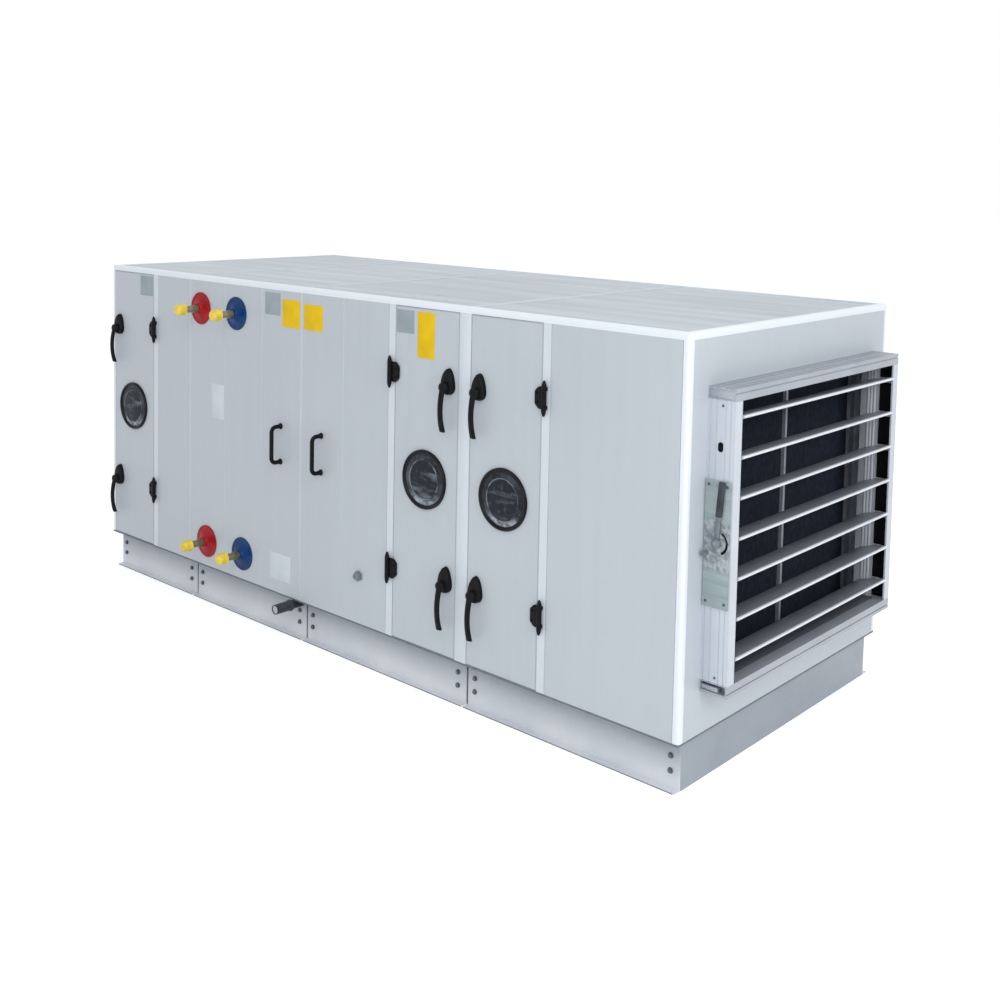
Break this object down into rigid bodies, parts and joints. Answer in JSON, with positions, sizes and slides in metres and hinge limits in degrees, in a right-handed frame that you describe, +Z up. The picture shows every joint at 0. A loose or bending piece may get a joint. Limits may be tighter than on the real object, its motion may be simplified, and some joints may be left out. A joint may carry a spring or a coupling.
{
  "type": "air handling unit",
  "caption": "Long double-skin air handling unit on a galvanised base, with hinged service doors, capped coil pipes and a louvred intake damper.",
  "frame": {"origin": "centre of the whole unit's box, on the ground under the base frame", "axes": "+X along the length towards the damper end, -Y the front with the doors, +Z up"},
  "size_m": [3.2013, 1.404, 1.36],
  "materials": {
    "panel": "light grey coated sheet",
    "edge_profile": "white coated profile",
    "upright": "pale satin profile",
    "galvanised": "galvanised",
    "damper_metal": "mill finish extrusion",
    "black_plastic": "moulded nylon",
    "window": "dark clear pane in a black rim",
    "red_rubber": "moulded",
    "blue_rubber": "moulded",
    "pipe_metal": "plain",
    "yellow_cap": "soft plastic",
    "grey_plastic": "moulded",
    "filter_cloth": "pleated filter cloth"
  },
  "bodies": {
    "casing": {"base_front_rail": "galvanised", "base_back_rail": "galvanised", "base_end_rails": "galvanised", "base_cross_rails": "galvanised", "corner_posts": "edge_profile", "roof_edge_long": "edge_profile", "roof_edge_short": "edge_profile", "front_uprights": "upright", "front_panels": "panel", "coil_panels": "panel", "access_panels": "panel", "back_panels": "panel", "roof_panels": "panel", "floor_panels": "galvanised", "left_end_panels": "panel", "right_end_panels": "panel", "outlet_collar": "damper_metal", "post_hinges": "black_plastic", "hot_rosettes": "red_rubber", "cold_rosettes": "blue_rubber", "coil_pipes": "pipe_metal", "pipe_caps": "yellow_cap", "pull_handles": "black_plastic", "drain_stub": "black_plastic", "sensor_gland": "grey_plastic", "filter_frame": "galvanised", "filter_media": "filter_cloth", "damper_sides": "damper_metal", "damper_rails": "damper_metal", "damper_quadrant": "galvanised"},
    "door_1": {"door_1_leaf": "panel", "door_1_window": "window", "door_1_fittings": "black_plastic"},
    "door_1_latch_low": {"door_1_lever_low": "black_plastic"},
    "door_1_latch_high": {"door_1_lever_high": "black_plastic"},
    "door_2": {"door_2_leaf": "panel", "door_2_window": "window", "door_2_fittings": "black_plastic"},
    "door_2_latch_low": {"door_2_lever_low": "black_plastic"},
    "door_2_latch_high": {"door_2_lever_high": "black_plastic"},
    "door_3": {"door_3_leaf": "panel", "door_3_window": "window", "door_3_fittings": "black_plastic"},
    "door_3_latch_low": {"door_3_lever_low": "black_plastic"},
    "door_3_latch_high": {"door_3_lever_high": "black_plastic"},
    "blade_1": {"damper_blade_1": "damper_metal"},
    "blade_2": {"damper_blade_2": "damper_metal"},
    "blade_3": {"damper_blade_3": "damper_metal"},
    "blade_4": {"damper_blade_4": "damper_metal", "damper_lever": "black_plastic"},
    "blade_5": {"damper_blade_5": "damper_metal"},
    "blade_6": {"damper_blade_6": "damper_metal"},
    "blade_7": {"damper_blade_7": "damper_metal"}
  },
  "joints": [
    {"name": "door_1_hinge", "type": "hinge", "parent": "casing", "child": "door_1", "pos_m": [-1.191, -0.59, 0.745], "axis": [0, 0, 1], "range_deg": [0, 110]},
    {"name": "door_1_latch_low_turn", "type": "hinge", "parent": "door_1", "child": "door_1_latch_low", "pos_m": [-1.471, -0.603, 0.41], "axis": [0, -1, 0], "range_deg": [0, 90]},
    {"name": "door_1_latch_high_turn", "type": "hinge", "parent": "door_1", "child": "door_1_latch_high", "pos_m": [-1.471, -0.603, 1.085], "axis": [0, -1, 0], "range_deg": [0, 90]},
    {"name": "door_2_hinge", "type": "hinge", "parent": "casing", "child": "door_2", "pos_m": [0.281, -0.59, 0.745], "axis": [0, 0, -1], "range_deg": [0, 110]},
    {"name": "door_2_latch_low_turn", "type": "hinge", "parent": "door_2", "child": "door_2_latch_low", "pos_m": [0.561, -0.603, 0.41], "axis": [0, 1, 0], "range_deg": [0, 90]},
    {"name": "door_2_latch_high_turn", "type": "hinge", "parent": "door_2", "child": "door_2_latch_high", "pos_m": [0.561, -0.603, 1.085], "axis": [0, 1, 0], "range_deg": [0, 90]},
    {"name": "door_3_hinge", "type": "hinge", "parent": "casing", "child": "door_3", "pos_m": [0.981, -0.59, 0.745], "axis": [0, 0, 1], "range_deg": [0, 110]},
    {"name": "door_3_latch_low_turn", "type": "hinge", "parent": "door_3", "child": "door_3_latch_low", "pos_m": [0.701, -0.603, 0.41], "axis": [0, -1, 0], "range_deg": [0, 90]},
    {"name": "door_3_latch_high_turn", "type": "hinge", "parent": "door_3", "child": "door_3_latch_high", "pos_m": [0.701, -0.603, 1.085], "axis": [0, -1, 0], "range_deg": [0, 90]},
    {"name": "blade_1_turn", "type": "hinge", "parent": "casing", "child": "blade_1", "pos_m": [1.55, 0.062, 0.3895], "axis": [0, 1, 0], "range_deg": [0, 104]},
    {"name": "blade_2_turn", "type": "hinge", "parent": "casing", "child": "blade_2", "pos_m": [1.55, 0.062, 0.5085], "axis": [0, 1, 0], "range_deg": [0, 104]},
    {"name": "blade_3_turn", "type": "hinge", "parent": "casing", "child": "blade_3", "pos_m": [1.55, 0.062, 0.6275], "axis": [0, 1, 0], "range_deg": [0, 104]},
    {"name": "blade_4_turn", "type": "hinge", "parent": "casing", "child": "blade_4", "pos_m": [1.55, 0.062, 0.7465], "axis": [0, 1, 0], "range_deg": [0, 104]},
    {"name": "blade_5_turn", "type": "hinge", "parent": "casing", "child": "blade_5", "pos_m": [1.55, 0.062, 0.8655], "axis": [0, 1, 0], "range_deg": [0, 104]},
    {"name": "blade_6_turn", "type": "hinge", "parent": "casing", "child": "blade_6", "pos_m": [1.55, 0.062, 0.9845], "axis": [0, 1, 0], "range_deg": [0, 104]},
    {"name": "blade_7_turn", "type": "hinge", "parent": "casing", "child": "blade_7", "pos_m": [1.55, 0.062, 1.1035], "axis": [0, 1, 0], "range_deg": [0, 104]}
  ],
  "couplings": [
    {"joint": "blade_1_turn", "follows": "blade_4_turn", "ratio": 1},
    {"joint": "blade_2_turn", "follows": "blade_4_turn", "ratio": 1},
    {"joint": "blade_3_turn", "follows": "blade_4_turn", "ratio": 1},
    {"joint": "blade_5_turn", "follows": "blade_4_turn", "ratio": 1},
    {"joint": "blade_6_turn", "follows": "blade_4_turn", "ratio": 1},
    {"joint": "blade_7_turn", "follows": "blade_4_turn", "ratio": 1}
  ]
}
